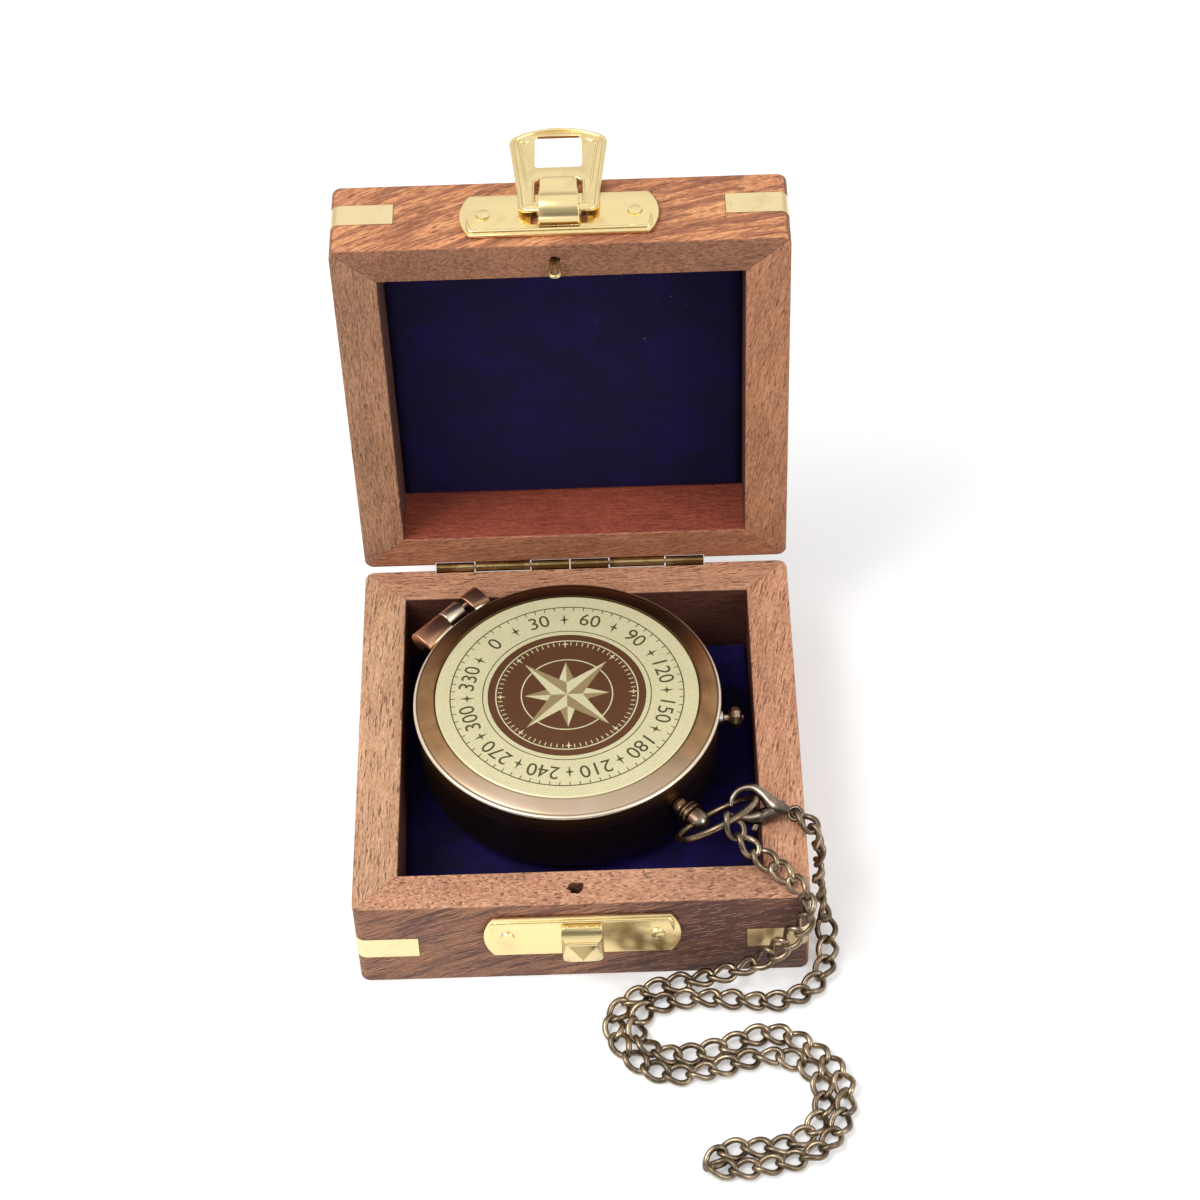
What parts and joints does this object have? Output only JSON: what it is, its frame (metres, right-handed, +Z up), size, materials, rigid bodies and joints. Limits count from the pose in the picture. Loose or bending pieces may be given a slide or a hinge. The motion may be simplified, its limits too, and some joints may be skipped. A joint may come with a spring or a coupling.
{
  "type": "pocket compass",
  "caption": "Pocket compass with a hinged, catch-locked cover, stem and bow ring on a curb chain, lying in an open velvet-lined hardwood box with a brass hasp latch.",
  "frame": {"origin": "centre of the box base's underside", "axes": "+Z up, +Y towards the box's rear hinges, +X to the right as seen from the front"},
  "size_m": [0.1118, 0.1989, 0.134],
  "materials": {
    "hardwood": "satin oiled orange-brown hardwood",
    "velvet": "dark blue-violet velvet",
    "bright_brass": "bright pale brass, stamped",
    "aged_brass": "antique brass",
    "case_bronze": "dark patinated bronze with rubbed edges",
    "chain_bronze": "darkened bronze wire",
    "printed_disc": "printed pale gold disc under lacquer",
    "printed_card": "printed off-white dial",
    "steel": "plain steel",
    "glass": "clear flat glass"
  },
  "bodies": {
    "box_base": {"base_back": "hardwood", "base_bottom": "hardwood", "base_catch": "bright_brass", "base_front": "hardwood", "base_inlay_left": "bright_brass", "base_inlay_right": "bright_brass", "base_latch_nail_left": "bright_brass", "base_latch_nail_right": "bright_brass", "base_latch_plate": "bright_brass", "base_left": "hardwood", "base_right": "hardwood", "base_velvet": "velvet", "hinge_left_base_leaf": "aged_brass", "hinge_right_base_leaf": "aged_brass", "hinge_left_pin": "steel", "hinge_right_pin": "steel"},
    "box_lid": {"lid_back": "hardwood", "lid_front": "hardwood", "lid_left": "hardwood", "lid_right": "hardwood", "lid_top": "hardwood", "lid_velvet": "velvet", "lid_inlay_left": "bright_brass", "lid_inlay_right": "bright_brass", "lid_latch_plate": "bright_brass", "lid_latch_nail_left": "bright_brass", "lid_latch_nail_right": "bright_brass", "locating_loop": "aged_brass", "hinge_left_lid_leaf": "aged_brass", "hinge_right_lid_leaf": "aged_brass"},
    "hasp_frame": {"hasp": "bright_brass"},
    "compass": {"compass_case": "case_bronze", "compass_card": "printed_card", "compass_pivot": "steel", "spacer_ring": "aged_brass", "compass_glass": "glass", "retaining_ring": "aged_brass", "lid_catch": "steel", "button_sleeve": "aged_brass", "bow_stem": "case_bronze", "compass_hinge_pin": "steel", "clasp_body": "chain_bronze", "trigger_pin": "steel", "chain": "chain_bronze"},
    "compass_cover": {"compass_lid": "case_bronze", "compass_lid_disc": "printed_disc"},
    "button": {"push_button": "aged_brass"},
    "needle": {"compass_needle": "steel"},
    "bow": {"bow_ring": "chain_bronze"},
    "trigger": {"clasp_trigger": "chain_bronze"}
  },
  "joints": [
    {"name": "box_lid_hinge", "type": "hinge", "parent": "box_base", "child": "box_lid", "pos_m": [0, 0.05122, 0.027], "axis": [-1, 0, 0], "range_deg": [-85, 0]},
    {"name": "hasp_swing", "type": "hinge", "parent": "box_lid", "child": "hasp_frame", "pos_m": [0, 0.06102, 0.13162], "axis": [1, 0, 0], "range_deg": [0, 175]},
    {"name": "compass_lift", "type": "slide", "parent": "box_base", "child": "compass", "axis": [0, 0, 1], "range_m": [0, 0.13]},
    {"name": "compass_cover_hinge", "type": "hinge", "parent": "compass", "child": "compass_cover", "pos_m": [-0.03034, 0.03252, 0.0295], "axis": [-0.6947, -0.7193, 0], "range_deg": [0, 95]},
    {"name": "button_push", "type": "slide", "parent": "compass", "child": "button", "axis": [-1, 0, 0], "range_m": [0, 0.0009], "stiffness_N_per_m": 400},
    {"name": "needle_spin", "type": "hinge", "parent": "compass", "child": "needle", "pos_m": [-0.00236, 0.0055, 0.0214], "axis": [0, 0, 1], "continuous": true},
    {"name": "bow_swing", "type": "hinge", "parent": "compass", "child": "bow", "pos_m": [0.02697, -0.02414, 0.021], "axis": [0.8111, 0.585, 0], "range_deg": [-2, 0.8]},
    {"name": "trigger_hinge", "type": "hinge", "parent": "compass", "child": "trigger", "pos_m": [0.04371, -0.02815, 0.0292], "axis": [0.238, 0.522, -0.819], "range_deg": [0, 12], "stiffness_Nm_per_rad": 0.001}
  ]
}
